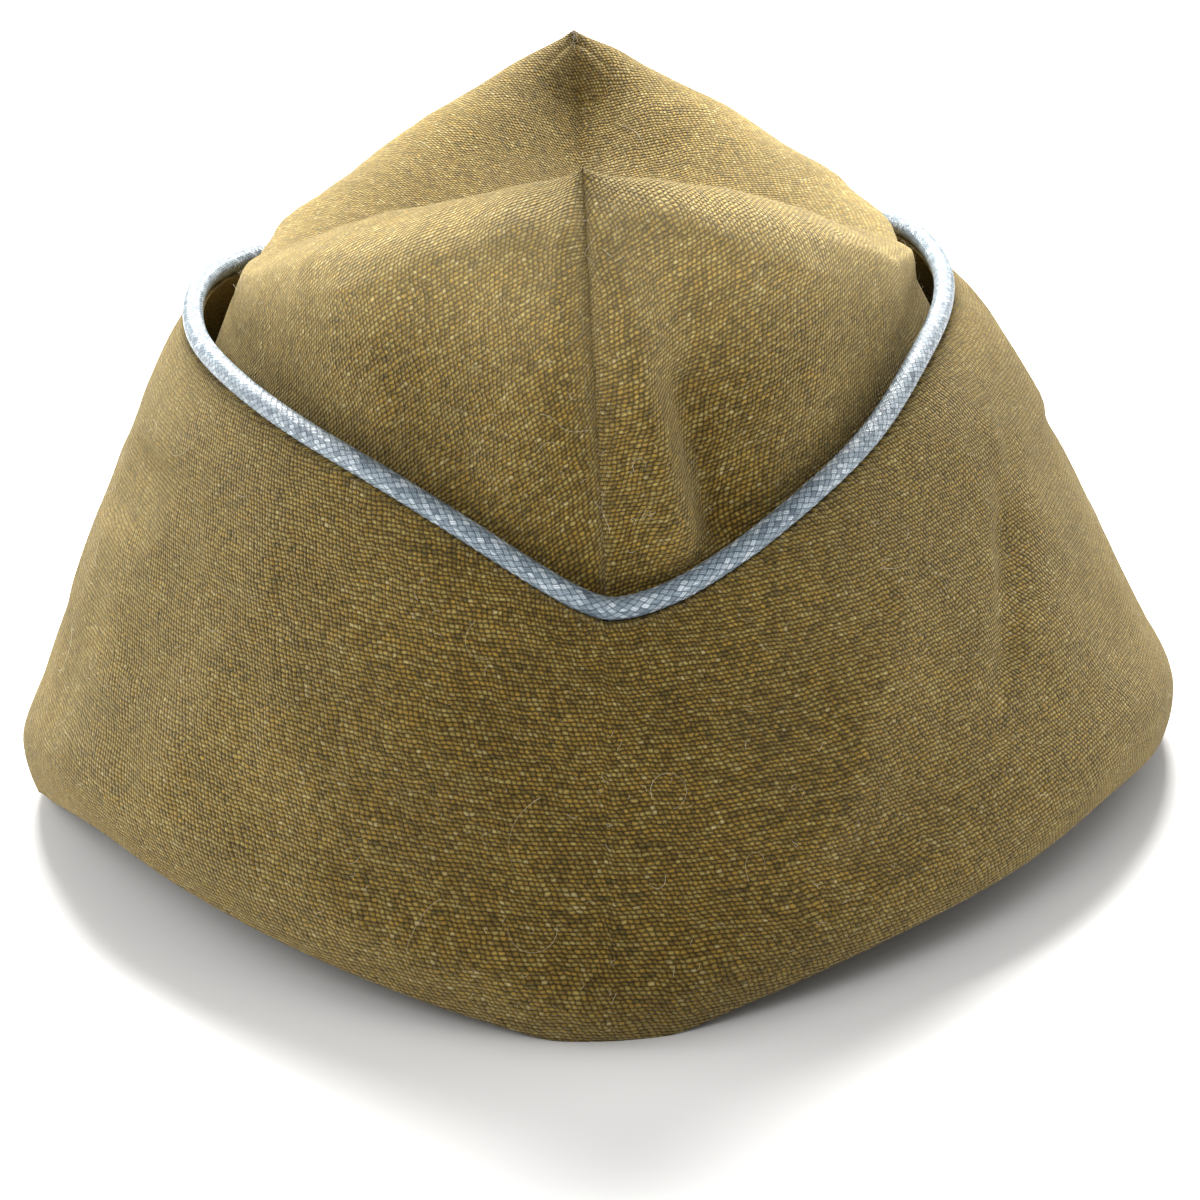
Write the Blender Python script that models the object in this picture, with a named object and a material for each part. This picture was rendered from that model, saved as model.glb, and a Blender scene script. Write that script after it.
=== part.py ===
"""Garrison cap of wool serge: two crown panels, a turned-up curtain and a cord-edge braid.

The cap stands open on its rim. +Z is up, +Y points to the front of the cap, the origin is on
the surface that it rests on, under the middle of the rim. Lengths are in metres.

Every place round the cap is a station: 0 at the back seam, 0.5 at the ear and 1 at the front
seam, on the left side (-X) or the right side (+X).
"""

import math

import bmesh
import bpy
import numpy as np

# Sizes of the rim
RIM_HALF_WIDTH = 0.0891
RIM_HALF_LENGTH = 0.1058
RIM_SQUARENESS = 1.74
RIM_ARCH = 0.0100

# The top of the cap sits this far to the right of the rim's middle
TOP_SHIFT = 0.0020

# Sizes of the curtain
CURTAIN_WALL = 0.0026
CURTAIN_SIDE_HEIGHT = 0.0776
CURTAIN_TOP_HALF_WIDTH = 0.0560
CURTAIN_TOP_HALF_LENGTH = 0.0883
BRAID_DIAMETER = 0.0031

# Sizes of the crown
CROWN_WALL = 0.0016
CREST_HALF_WIDTH = 0.0440
CREST_BACK_Y = -0.0762
CREST_FRONT_Y = 0.0838
BACK_PEAK_HEIGHT = 0.1104
FRONT_PEAK_HEIGHT = 0.1058
CREST_LEFT_HEIGHT = 0.0858
CREST_RIGHT_HEIGHT = 0.0832
CREST_ROUNDING = 0.0045
BACK_PLAN_POWER = 0.80
FRONT_PLAN_POWER = 0.92
BACK_SLOPE_POWER = 1.35
FRONT_SLOPE_POWER = 1.50
BACK_PEAK_ROUNDING = 0.09
FRONT_PEAK_ROUNDING = 0.05
SADDLE_HEIGHT = 0.0735
CROWN_BULGE = 0.0040
CROWN_SIDE_BULGE = 0.0008
CROWN_LIFT = 0.0004
BULGE_LIFT = 0.4

# How much further the crest's inner line lies in and down than its wall is thick
CREST_INSET_ALONG = 1.4
CREST_INSET_DOWN = 1.5

# Gaps between the pieces
CLEARANCE = 0.0003
CURTAIN_GAP = 2 * CLEARANCE
BRAID_GAP = 1.5 * CLEARANCE

# The depth that the fold tables share, and how a fold fades out past its ends
FOLD_DEPTH = 0.0030
FOLD_FULL_RUN = 0.3
FOLD_FADE = 48.0

# How finely the solids are cut
PANEL_STATIONS = 28
WALL_LEVELS = 9
CREST_LEVELS = 4
TOP_LEVELS = 5
CURTAIN_STATIONS = 34
CURTAIN_LEVELS = 8
CURTAIN_LEVEL_POWER = 1.15
BRAID_POINTS = 80
MERGE_DISTANCE = 0.00002
SLIVER_LENGTH = 0.00001
SHORTEST_TOP = 0.000001

# A row for each section: station, and how high the rim arches there as a share of RIM_ARCH
RIM_COLUMNS = ("station", "rise")
RIM_LINE_LEFT = (
    (0.000, 0.00),
    (0.035, 0.00),
    (0.080, 0.24),
    (0.160, 0.69),
    (0.240, 1.07),
    (0.320, 1.28),
    (0.400, 0.90),
    (0.500, 0.08),
    (0.600, 0.45),
    (0.700, 0.75),
    (0.800, 0.60),
    (0.900, 0.20),
    (0.965, 0.00),
    (1.000, 0.00),
)
RIM_LINE_RIGHT = (
    (0.000, 0.00),
    (0.035, 0.00),
    (0.080, 0.26),
    (0.160, 0.62),
    (0.240, 0.80),
    (0.320, 0.93),
    (0.400, 0.67),
    (0.500, 0.17),
    (0.600, 0.45),
    (0.700, 0.75),
    (0.800, 0.60),
    (0.900, 0.20),
    (0.965, 0.00),
    (1.000, 0.00),
)

# A row for each section: station, height of the curtain's top edge as a share of
# CURTAIN_SIDE_HEIGHT, its spread as a share of CURTAIN_TOP_HALF_WIDTH, and the crown's distance
# inside the braid as a share of FOLD_DEPTH
TOP_EDGE_COLUMNS = ("station", "height", "spread", "crown_gap")
TOP_EDGE_LEFT = (
    (0.00, 0.682, 1.035, 0.30),
    (0.02, 0.704, 1.035, 0.30),
    (0.05, 0.748, 1.035, 0.35),
    (0.10, 0.821, 1.035, 0.40),
    (0.16, 0.890, 1.040, 0.45),
    (0.24, 0.947, 1.045, 0.50),
    (0.32, 0.984, 1.050, 0.60),
    (0.42, 1.004, 1.055, 1.00),
    (0.50, 1.018, 1.050, 1.50),
    (0.60, 1.015, 1.040, 1.60),
    (0.72, 0.972, 1.020, 1.10),
    (0.84, 0.875, 1.000, 0.60),
    (0.93, 0.770, 1.000, 0.40),
    (1.00, 0.694, 1.000, 0.30),
)
TOP_EDGE_RIGHT = (
    (0.00, 0.682, 0.965, 0.30),
    (0.02, 0.686, 0.965, 0.30),
    (0.05, 0.702, 0.965, 0.35),
    (0.10, 0.747, 0.965, 0.40),
    (0.16, 0.808, 0.965, 0.40),
    (0.24, 0.877, 0.955, 0.45),
    (0.32, 0.947, 0.945, 0.45),
    (0.42, 0.982, 0.945, 0.60),
    (0.50, 0.987, 0.950, 1.00),
    (0.60, 0.990, 0.960, 1.10),
    (0.72, 0.952, 0.980, 0.80),
    (0.84, 0.865, 1.000, 0.60),
    (0.93, 0.770, 1.000, 0.40),
    (1.00, 0.694, 1.000, 0.30),
)

# A row for each level of the curtain: level from the rim to the top edge, share of the lean
# inwards, and roll of the lower fold as a share of CURTAIN_WALL
CURTAIN_COLUMNS = ("level", "lean", "roll")
CURTAIN_SECTION = (
    (0.00, 0.00, -0.45),
    (0.04, 0.00, -0.10),
    (0.12, 0.00, 0.10),
    (0.27, 0.137, 0.00),
    (0.50, 0.363, 0.00),
    (0.75, 0.650, 0.00),
    (0.94, 0.89, 0.00),
    (1.00, 1.00, 0.00),
)

# A row for each place along the top seam: share of the way from the back peak to the front
# peak, and the height as a share of the drop from that end's peak to the saddle
SEAM_COLUMNS = ("share", "drop")
TOP_SEAM = (
    (0.00, 0.00),
    (0.03, 0.24),
    (0.08, 0.52),
    (0.16, 0.76),
    (0.30, 0.93),
    (0.50, 1.00),
    (0.68, 0.94),
    (0.80, 0.80),
    (0.88, 0.60),
    (0.95, 0.32),
    (1.00, 0.00),
)

# A row for each fold: the side it is on, its station and level at the lower and upper end, its
# half-width in stations, and its depth as a share of FOLD_DEPTH, where outwards is positive.
# Levels of the crown run 0 at the braid to 1 at the crest, and those of the curtain 0 to 1.
FOLD_COLUMNS = ("side", "low_station", "low_level", "high_station", "high_level", "half_width", "depth")
CROWN_FOLDS = (
    (1, 0.070, 0.00, 0.045, 0.75, 0.030, 0.62),
    (1, 0.112, 0.00, 0.100, 0.80, 0.035, -0.62),
    (1, 0.200, 0.10, 0.220, 0.95, 0.060, 0.40),
    (-1, 0.060, 0.05, 0.055, 0.80, 0.040, 0.30),
    (-1, 0.130, 0.05, 0.140, 0.85, 0.045, -0.40),
    (-1, 0.220, 0.10, 0.240, 0.95, 0.060, 0.45),
)
CURTAIN_FOLDS = (
    (1, 0.345, 0.80, 0.315, 0.56, 0.018, -0.32),
    (1, 0.320, 0.70, 0.290, 0.46, 0.018, -0.36),
    (1, 0.290, 0.60, 0.255, 0.38, 0.020, -0.30),
    (1, 0.205, 0.75, 0.120, 0.25, 0.030, 0.35),
    (1, 0.470, 0.70, 0.460, 1.00, 0.110, 0.55),
    (-1, 0.400, 0.62, 0.360, 0.82, 0.050, -0.55),
    (-1, 0.300, 0.35, 0.285, 0.70, 0.050, -0.35),
    (-1, 0.075, 0.60, 0.055, 0.90, 0.040, -0.30),
)

WOOL_COLOUR = (0.150, 0.102, 0.032, 1.0)
BRAID_COLOUR = (0.330, 0.430, 0.520, 1.0)


def column(rows, names, name, at):
    """A smooth curve through one column of a table, read at the given places of its first one."""
    table = np.array(rows, float)
    places = table[:, 0]
    values = table[:, names.index(name)]
    slopes = np.gradient(values, places)
    at = np.clip(at, places[0], places[-1])
    index = np.clip(np.searchsorted(places, at, side="right") - 1, 0, len(places) - 2)
    width = places[index + 1] - places[index]
    share = (at - places[index]) / width
    rest = 1 - share
    return (
        rest * rest * (1 + 2 * share) * values[index]
        + share * share * (1 + 2 * rest) * values[index + 1]
        + share * rest * rest * width * slopes[index]
        - share * share * rest * width * slopes[index + 1]
    )


def oval(station, half_width, half_length, squareness=2.0):
    """(distance from the middle plane, y) on an oval, for one side."""
    angle = math.pi * station
    across = half_width * np.abs(np.sin(angle)) ** (2 / squareness)
    along = -half_length * np.sign(np.cos(angle)) * np.abs(np.cos(angle)) ** (2 / squareness)
    return across, along


def pushed(across, along, half_width, half_length, squareness, distance):
    """A point of an oval, pushed outwards by a distance at right angles to the oval."""
    slope_across = (np.abs(across) / half_width) ** (squareness - 1) / half_width
    slope_along = np.sign(along) * (np.abs(along) / half_length) ** (squareness - 1) / half_length
    length = np.hypot(slope_across, slope_along)
    return across + distance * slope_across / length, along + distance * slope_along / length


def rim(station, distance):
    """(across, y) on the rim's outer line, pushed outwards by a distance."""
    across, along = oval(station, RIM_HALF_WIDTH, RIM_HALF_LENGTH, RIM_SQUARENESS)
    return pushed(across, along, RIM_HALF_WIDTH, RIM_HALF_LENGTH, RIM_SQUARENESS, distance)


def rim_height(side, station):
    """The rim rests flat at the front and back, and arches a little on both sides of the ears."""
    rows = RIM_LINE_LEFT if side < 0 else RIM_LINE_RIGHT
    return RIM_ARCH * np.clip(column(rows, RIM_COLUMNS, "rise", station), 0, None)


def top_edge(side, station, distance):
    """(across, y, z) of the braid's middle line, pushed outwards by a distance."""
    rows = TOP_EDGE_LEFT if side < 0 else TOP_EDGE_RIGHT
    half_width = CURTAIN_TOP_HALF_WIDTH * column(rows, TOP_EDGE_COLUMNS, "spread", station)
    across, along = oval(station, half_width, CURTAIN_TOP_HALF_LENGTH)
    across, along = pushed(across, along, half_width, CURTAIN_TOP_HALF_LENGTH, 2.0, distance)
    height = CURTAIN_SIDE_HEIGHT * column(rows, TOP_EDGE_COLUMNS, "height", station)
    return across, along, height


def fold_height(rows, side, station, level):
    """How far the folds push the cloth outwards at a station and level."""
    total = np.zeros(np.broadcast(station, level).shape)
    for row in rows:
        fold = dict(zip(FOLD_COLUMNS, row))
        if fold["side"] != side:
            continue
        run = (level - fold["low_level"]) / (fold["high_level"] - fold["low_level"])
        middle = fold["low_station"] + (fold["high_station"] - fold["low_station"]) * run
        off = (station - middle) / fold["half_width"]
        past_end = np.clip(np.abs(run - 0.5) - FOLD_FULL_RUN, 0, None)
        fade = np.exp(-FOLD_FADE * past_end**2)
        total = total + FOLD_DEPTH * fold["depth"] * np.exp(-off * off) * fade
    return total


def curtain_point(side, station, level, inset):
    """A point of the curtain, inset inwards from its outer face. Returns x, y, z."""
    lean = column(CURTAIN_SECTION, CURTAIN_COLUMNS, "lean", level)
    roll = CURTAIN_WALL * column(CURTAIN_SECTION, CURTAIN_COLUMNS, "roll", level)
    outwards = fold_height(CURTAIN_FOLDS, side, station, level) - inset
    outwards = outwards + np.where(inset > 0, 0.0, roll)
    rim_across, rim_along = rim(station, outwards)
    # The braid sits over the middle of the wall, so the outer face is outside of the braid's line
    edge_across, edge_along, edge_height = top_edge(side, station, outwards + CURTAIN_WALL / 2)
    across = rim_across + (edge_across - rim_across) * lean
    along = rim_along + (edge_along - rim_along) * lean
    bottom = rim_height(side, station)
    top = edge_height - BRAID_DIAMETER / 2 - BRAID_GAP
    return side * across + TOP_SHIFT * lean, along, bottom + (top - bottom) * level


def crest(side, station, inset):
    """(across, y, z) of the fold where the crown's wall turns into its top."""
    back = CREST_BACK_Y + inset * CREST_INSET_ALONG
    front = CREST_FRONT_Y - inset * CREST_INSET_ALONG
    middle = (back + front) / 2
    reach = (front - back) / 2
    end = np.abs(np.cos(math.pi * station))
    plan_power = np.where(station < 0.5, BACK_PLAN_POWER, FRONT_PLAN_POWER)
    across = (CREST_HALF_WIDTH - inset) * (1 - end * end) ** plan_power
    along = middle - reach * np.cos(math.pi * station)
    back_end = np.clip(1 - np.hypot(1 - end, BACK_PEAK_ROUNDING) + BACK_PEAK_ROUNDING, 0, 1)
    front_end = np.clip(1 - np.hypot(1 - end, FRONT_PEAK_ROUNDING) + FRONT_PEAK_ROUNDING, 0, 1)
    side_height = CREST_LEFT_HEIGHT if side < 0 else CREST_RIGHT_HEIGHT
    back_rise = (BACK_PEAK_HEIGHT - side_height) * back_end**BACK_SLOPE_POWER
    front_rise = (FRONT_PEAK_HEIGHT - side_height) * front_end**FRONT_SLOPE_POWER
    height = side_height + np.where(station < 0.5, back_rise, front_rise) - inset * CREST_INSET_DOWN
    return across, along, height


def seam_height(along, inset):
    """Height of the top seam, which dips between the two peaks."""
    back = CREST_BACK_Y + inset * CREST_INSET_ALONG
    front = CREST_FRONT_Y - inset * CREST_INSET_ALONG
    share = (along - back) / (front - back)
    drop = column(TOP_SEAM, SEAM_COLUMNS, "drop", share)
    peak = np.where(share < 0.5, BACK_PEAK_HEIGHT, FRONT_PEAK_HEIGHT)
    return peak - (peak - SADDLE_HEIGHT) * drop - inset * CREST_INSET_DOWN


def waist(side, station, inset):
    """(across, y, z) where the crown passes the braid."""
    rows = TOP_EDGE_LEFT if side < 0 else TOP_EDGE_RIGHT
    gap = FOLD_DEPTH * column(rows, TOP_EDGE_COLUMNS, "crown_gap", station)
    return top_edge(side, station, -BRAID_DIAMETER / 2 - gap - inset)


def blend(first, second, share):
    return tuple(a + (b - a) * share for a, b in zip(first, second))


def crown_profile(side, station, inset):
    """The points of one section of a crown panel, from the rim over the crest to the top seam."""
    bottom = (*rim(station, -CURTAIN_WALL - CURTAIN_GAP - inset), rim_height(side, station) + CROWN_LIFT)
    middle = waist(side, station, inset)
    top = crest(side, station, inset)
    seam = (0 * top[0], top[1], np.minimum(seam_height(top[1], inset), top[2]))
    end = abs(math.cos(math.pi * station))
    bulge = CROWN_SIDE_BULGE + (CROWN_BULGE - CROWN_SIDE_BULGE) * end

    lower_shares = np.linspace(0, 1, WALL_LEVELS // 2 + 1)[:-1]
    points = [blend(bottom, middle, share) for share in lower_shares]
    shifts = [TOP_SHIFT * share for share in lower_shares]
    wall_length = math.dist(middle, top)
    top_length = math.dist(top, seam)
    wall_cut = min(CREST_ROUNDING / wall_length, 0.5)
    top_cut = min(CREST_ROUNDING / max(top_length, SHORTEST_TOP), 0.5)

    def bulged(share):
        across, along, height = blend(middle, top, share)
        out = bulge * math.sin(math.pi * share) + float(
            fold_height(CROWN_FOLDS, side, station, np.array(share))
        )
        turn = math.atan2(along / CURTAIN_TOP_HALF_LENGTH, across / CURTAIN_TOP_HALF_WIDTH)
        return across + out * math.cos(turn), along + out * math.sin(turn), height + out * BULGE_LIFT

    for share in np.linspace(0, 1 - wall_cut, WALL_LEVELS):
        points.append(bulged(float(share)))
    start = points[-1]
    end = blend(top, seam, top_cut)
    for share in np.linspace(0, 1, CREST_LEVELS)[1:-1]:
        points.append(blend(blend(start, top, share), blend(top, end, share), share))
    for share in np.linspace(top_cut, 1, TOP_LEVELS):
        points.append(blend(top, seam, share))
    shifts += [TOP_SHIFT] * (len(points) - len(shifts))
    return [
        (side * (CLEARANCE / 2 + across) + shift, along, height)
        for (across, along, height), shift in zip(points, shifts)
    ]


def new_material(name, colour, roughness):
    material = bpy.data.materials.new(name)
    material.use_nodes = True
    shader = material.node_tree.nodes["Principled BSDF"]
    shader.inputs["Base Color"].default_value = colour
    shader.inputs["Roughness"].default_value = roughness
    shader.inputs["Metallic"].default_value = 0.0
    return material


def new_object(name, mesh, material, collection):
    mesh.materials.append(material)
    mesh.shade_smooth()
    piece = bpy.data.objects.new(name, mesh)
    collection.objects.link(piece)
    return piece


def loft(name, outer, inner, closed_round):
    """A closed wall between two grids of points, rows of sections with the same levels."""
    form = bmesh.new()
    sections = len(outer)
    levels = len(outer[0])
    grids = [[[form.verts.new(point) for point in section] for section in grid] for grid in (outer, inner)]
    last = sections if closed_round else sections - 1
    for section in range(last):
        following = (section + 1) % sections
        for grid, flipped in ((grids[0], False), (grids[1], True)):
            for level in range(levels - 1):
                corners = [
                    grid[section][level],
                    grid[following][level],
                    grid[following][level + 1],
                    grid[section][level + 1],
                ]
                form.faces.new(corners[::-1] if flipped else corners)
        for level, flipped in ((0, True), (levels - 1, False)):
            corners = [
                grids[0][section][level],
                grids[0][following][level],
                grids[1][following][level],
                grids[1][section][level],
            ]
            form.faces.new(corners[::-1] if flipped else corners)
    if not closed_round:
        for section, flipped in ((0, False), (sections - 1, True)):
            for level in range(levels - 1):
                corners = [
                    grids[0][section][level],
                    grids[0][section][level + 1],
                    grids[1][section][level + 1],
                    grids[1][section][level],
                ]
                form.faces.new(corners[::-1] if flipped else corners)
    bmesh.ops.remove_doubles(form, verts=form.verts, dist=MERGE_DISTANCE)
    bmesh.ops.dissolve_degenerate(form, edges=form.edges, dist=SLIVER_LENGTH)
    bmesh.ops.triangulate(form, faces=form.faces)
    bmesh.ops.recalc_face_normals(form, faces=form.faces)
    mesh = bpy.data.meshes.new(name)
    form.to_mesh(mesh)
    form.free()
    return mesh


def make_crown_panel(side, name, material, collection):
    stations = np.linspace(0, 1, PANEL_STATIONS + 1)
    outer = [crown_profile(side, station, 0.0) for station in stations]
    inner = [crown_profile(side, station, CROWN_WALL) for station in stations]
    return new_object(name, loft(name, outer, inner, False), material, collection)


def make_curtain(material, collection):
    half = np.linspace(0, 1, CURTAIN_STATIONS + 1)
    round_the_cap = [(-1, station) for station in half] + [(1, station) for station in half[-2:0:-1]]
    levels = np.linspace(0, 1, CURTAIN_LEVELS) ** CURTAIN_LEVEL_POWER
    outer = []
    inner = []
    for side, station in round_the_cap:
        outer.append([curtain_point(side, station, level, 0.0) for level in levels])
        inner.append([curtain_point(side, station, level, CURTAIN_WALL) for level in levels])
    return new_object("curtain", loft("curtain", outer, inner, True), material, collection)


def make_edge_braid(material, collection):
    """The braid is one closed tube all round the curtain's top edge."""
    line = bpy.data.curves.new("edge_braid", "CURVE")
    line.dimensions = "3D"
    line.bevel_depth = BRAID_DIAMETER / 2
    line.bevel_resolution = 2
    run = line.splines.new("POLY")
    run.points.add(2 * BRAID_POINTS - 1)
    run.use_cyclic_u = True
    places = [(-1, index / BRAID_POINTS) for index in range(BRAID_POINTS)]
    places += [(1, 1 - index / BRAID_POINTS) for index in range(BRAID_POINTS)]
    for point, (side, station) in zip(run.points, places):
        across, along, height = top_edge(side, station, 0.0)
        point.co = (side * across + TOP_SHIFT, along, height, 1.0)
    line.materials.append(material)
    piece = bpy.data.objects.new("edge_braid", line)
    collection.objects.link(piece)
    return piece


def main():
    for old in list(bpy.data.objects):
        bpy.data.objects.remove(old)
    collection = bpy.data.collections.new("garrison_cap")
    bpy.context.scene.collection.children.link(collection)
    wool = new_material("wool_serge", WOOL_COLOUR, 0.9)
    cord = new_material("cord_edge_braid", BRAID_COLOUR, 0.4)
    make_crown_panel(-1, "crown_panel_left", wool, collection)
    make_crown_panel(1, "crown_panel_right", wool.copy(), collection)
    make_curtain(wool.copy(), collection)
    make_edge_braid(cord, collection)


main()
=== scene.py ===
"""Looks of the garrison cap: fine cloth walls, woven serge, a plaited edge braid, floor, light
and camera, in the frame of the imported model. Lengths are in metres.

Every place round the cap is a station: 0 at the back seam, 0.5 at the ear and 1 at the front
seam, on the left side (-X) or the right side (+X).
"""

import math

import bpy
import numpy as np
from mathutils import Matrix, Vector


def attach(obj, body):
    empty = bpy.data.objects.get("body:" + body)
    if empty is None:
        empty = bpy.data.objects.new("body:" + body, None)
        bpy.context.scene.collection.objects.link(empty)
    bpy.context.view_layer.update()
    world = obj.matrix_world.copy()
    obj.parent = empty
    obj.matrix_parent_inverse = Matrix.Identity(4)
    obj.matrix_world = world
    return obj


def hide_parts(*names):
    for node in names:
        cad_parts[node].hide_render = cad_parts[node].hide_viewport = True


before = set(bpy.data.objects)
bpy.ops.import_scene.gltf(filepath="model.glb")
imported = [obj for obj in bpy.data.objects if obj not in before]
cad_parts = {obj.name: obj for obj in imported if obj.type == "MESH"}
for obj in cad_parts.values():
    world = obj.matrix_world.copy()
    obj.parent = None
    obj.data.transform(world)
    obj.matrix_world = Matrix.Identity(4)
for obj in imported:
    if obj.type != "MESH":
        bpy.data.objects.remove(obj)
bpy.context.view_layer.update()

# Sizes of the rim
RIM_HALF_WIDTH = 0.0891
RIM_HALF_LENGTH = 0.1058
RIM_SQUARENESS = 1.74
RIM_ARCH = 0.0100

# The top of the cap sits this far to the right of the rim's middle
TOP_SHIFT = 0.0020

# Sizes of the curtain
CURTAIN_WALL = 0.0026
CURTAIN_SIDE_HEIGHT = 0.0776
CURTAIN_TOP_HALF_WIDTH = 0.0560
CURTAIN_TOP_HALF_LENGTH = 0.0883
BRAID_DIAMETER = 0.0031

# Sizes of the crown
CROWN_WALL = 0.0016
CREST_HALF_WIDTH = 0.0440
CREST_BACK_Y = -0.0762
CREST_FRONT_Y = 0.0838
BACK_PEAK_HEIGHT = 0.1102
FRONT_PEAK_HEIGHT = 0.1054
CREST_LEFT_HEIGHT = 0.0848
CREST_RIGHT_HEIGHT = 0.0802
CREST_ROUNDING = 0.0110
BACK_PLAN_POWER = 0.80
FRONT_PLAN_POWER = 0.92
BACK_SLOPE_POWER = 1.35
FRONT_SLOPE_POWER = 1.95
BACK_PEAK_ROUNDING = 0.14
FRONT_PEAK_ROUNDING = 0.045
SADDLE_HEIGHT = 0.0735
CROWN_LIFT = 0.0004

# The bulge of the crown's wall: how far out it goes at the seams and at the ears, the share of
# that it goes up, and the share of it low and high on the wall
CROWN_BULGE = 0.0050
CROWN_SIDE_BULGE = 0.0008
BULGE_LIFT = 0.4
BULGE_LOW = 0.45
BULGE_HIGH = 2.10

# How much further the crest's inner line lies in and down than its wall is thick
CREST_INSET_ALONG = 1.4
CREST_INSET_DOWN = 1.5

# Gaps between the pieces
CLEARANCE = 0.0003
CURTAIN_GAP = 2 * CLEARANCE
BRAID_GAP = 0.2 * CLEARANCE

# The depth that the fold tables share, and how a fold fades out past its ends
FOLD_DEPTH = 0.0030
FOLD_FULL_RUN = 0.3
FOLD_FADE = 48.0

# Grids of the fine cloth
PANEL_STATIONS = 250
LOWER_LEVELS = 20
WALL_LEVELS = 62
CREST_LEVELS = 14
TOP_LEVELS = 34
CURTAIN_STATIONS = 280
CURTAIN_LEVELS = 64
CURTAIN_LEVEL_POWER = 1.1

# The cloth is eased over the crest, from this many levels below it to half as many past it
CREST_EASE_REACH = 14
CREST_EASE_ROUNDS = 14

# The seams between the crown panels. Their edges turn in towards a point at this height.
GROOVE_CENTRE_HEIGHT = 0.055
SEAM_GAP = 0.00001
SEAM_GROOVE_DEPTH = 0.0008
SEAM_GROOVE_WIDTH = 0.0006
SEAM_STATION_CROWDING = 0.72
TOP_SEAM_CROWDING = 0.8

# The top is no narrower than this where its rounding is divided by its width
SHORTEST_TOP = 0.000001

# The flat pattern that the weave lies on: the steps of its coarse grid, and its rounds of easing
PATTERN_ROWS = 60
PATTERN_COLUMNS = 30
PATTERN_ROUNDS = 12

# A row for each section: station, and how high the rim arches there as a share of RIM_ARCH
RIM_COLUMNS = ("station", "rise")
RIM_LINE_LEFT = (
    (0.000, 0.00),
    (0.035, 0.00),
    (0.080, 0.24),
    (0.160, 0.69),
    (0.240, 1.07),
    (0.320, 1.28),
    (0.400, 0.90),
    (0.500, 0.08),
    (0.600, 0.45),
    (0.700, 0.75),
    (0.800, 0.60),
    (0.900, 0.20),
    (0.965, 0.00),
    (1.000, 0.00),
)
RIM_LINE_RIGHT = (
    (0.000, 0.00),
    (0.035, 0.00),
    (0.080, 0.26),
    (0.160, 0.62),
    (0.240, 0.80),
    (0.320, 0.93),
    (0.400, 0.67),
    (0.500, 0.17),
    (0.600, 0.45),
    (0.700, 0.75),
    (0.800, 0.60),
    (0.900, 0.20),
    (0.965, 0.00),
    (1.000, 0.00),
)

# A row for each section: station, height of the curtain's top edge as a share of
# CURTAIN_SIDE_HEIGHT, its spread as a share of CURTAIN_TOP_HALF_WIDTH, and the crown's distance
# inside the braid as a share of FOLD_DEPTH
TOP_EDGE_COLUMNS = ("station", "height", "spread", "crown_gap")
TOP_EDGE_LEFT = (
    (0.00, 0.682, 1.035, 0.30),
    (0.02, 0.704, 1.035, 0.30),
    (0.05, 0.748, 1.035, 0.35),
    (0.10, 0.821, 1.035, 0.40),
    (0.16, 0.890, 1.040, 0.45),
    (0.24, 0.947, 1.045, 0.50),
    (0.32, 0.984, 1.050, 0.60),
    (0.42, 1.004, 1.055, 1.00),
    (0.50, 1.018, 1.050, 1.50),
    (0.60, 0.998, 1.040, 1.60),
    (0.72, 0.950, 1.020, 1.10),
    (0.84, 0.875, 1.000, 0.60),
    (0.93, 0.770, 1.000, 0.40),
    (1.00, 0.694, 1.000, 0.30),
)
TOP_EDGE_RIGHT = (
    (0.00, 0.682, 0.965, 0.30),
    (0.02, 0.686, 0.965, 0.30),
    (0.05, 0.702, 0.965, 0.35),
    (0.10, 0.747, 0.965, 0.40),
    (0.16, 0.808, 0.965, 0.40),
    (0.24, 0.877, 0.955, 0.45),
    (0.32, 0.947, 0.945, 0.45),
    (0.42, 0.982, 0.945, 0.60),
    (0.50, 0.987, 0.950, 1.00),
    (0.60, 0.990, 0.960, 1.10),
    (0.72, 0.952, 0.980, 0.80),
    (0.84, 0.865, 1.000, 0.60),
    (0.93, 0.770, 1.000, 0.40),
    (1.00, 0.694, 1.000, 0.30),
)

# A row for each level of the curtain: level from the rim to the top edge, share of the lean
# inwards, and roll of the lower fold as a share of CURTAIN_WALL
CURTAIN_COLUMNS = ("level", "lean", "roll")
CURTAIN_SECTION = (
    (0.00, 0.00, -0.45),
    (0.04, 0.00, -0.10),
    (0.12, 0.00, 0.10),
    (0.27, 0.137, 0.00),
    (0.50, 0.363, 0.00),
    (0.75, 0.650, 0.00),
    (0.94, 0.89, 0.00),
    (1.00, 1.00, 0.00),
)

# A row for each place along the top seam: share of the way from the back peak to the front
# peak, and the height as a share of the drop from that end's peak to the saddle
SEAM_COLUMNS = ("share", "drop")
TOP_SEAM = (
    (0.00, 0.00),
    (0.03, 0.24),
    (0.08, 0.52),
    (0.16, 0.76),
    (0.30, 0.93),
    (0.50, 1.00),
    (0.68, 0.96),
    (0.80, 0.86),
    (0.88, 0.68),
    (0.95, 0.38),
    (1.00, 0.00),
)

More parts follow.
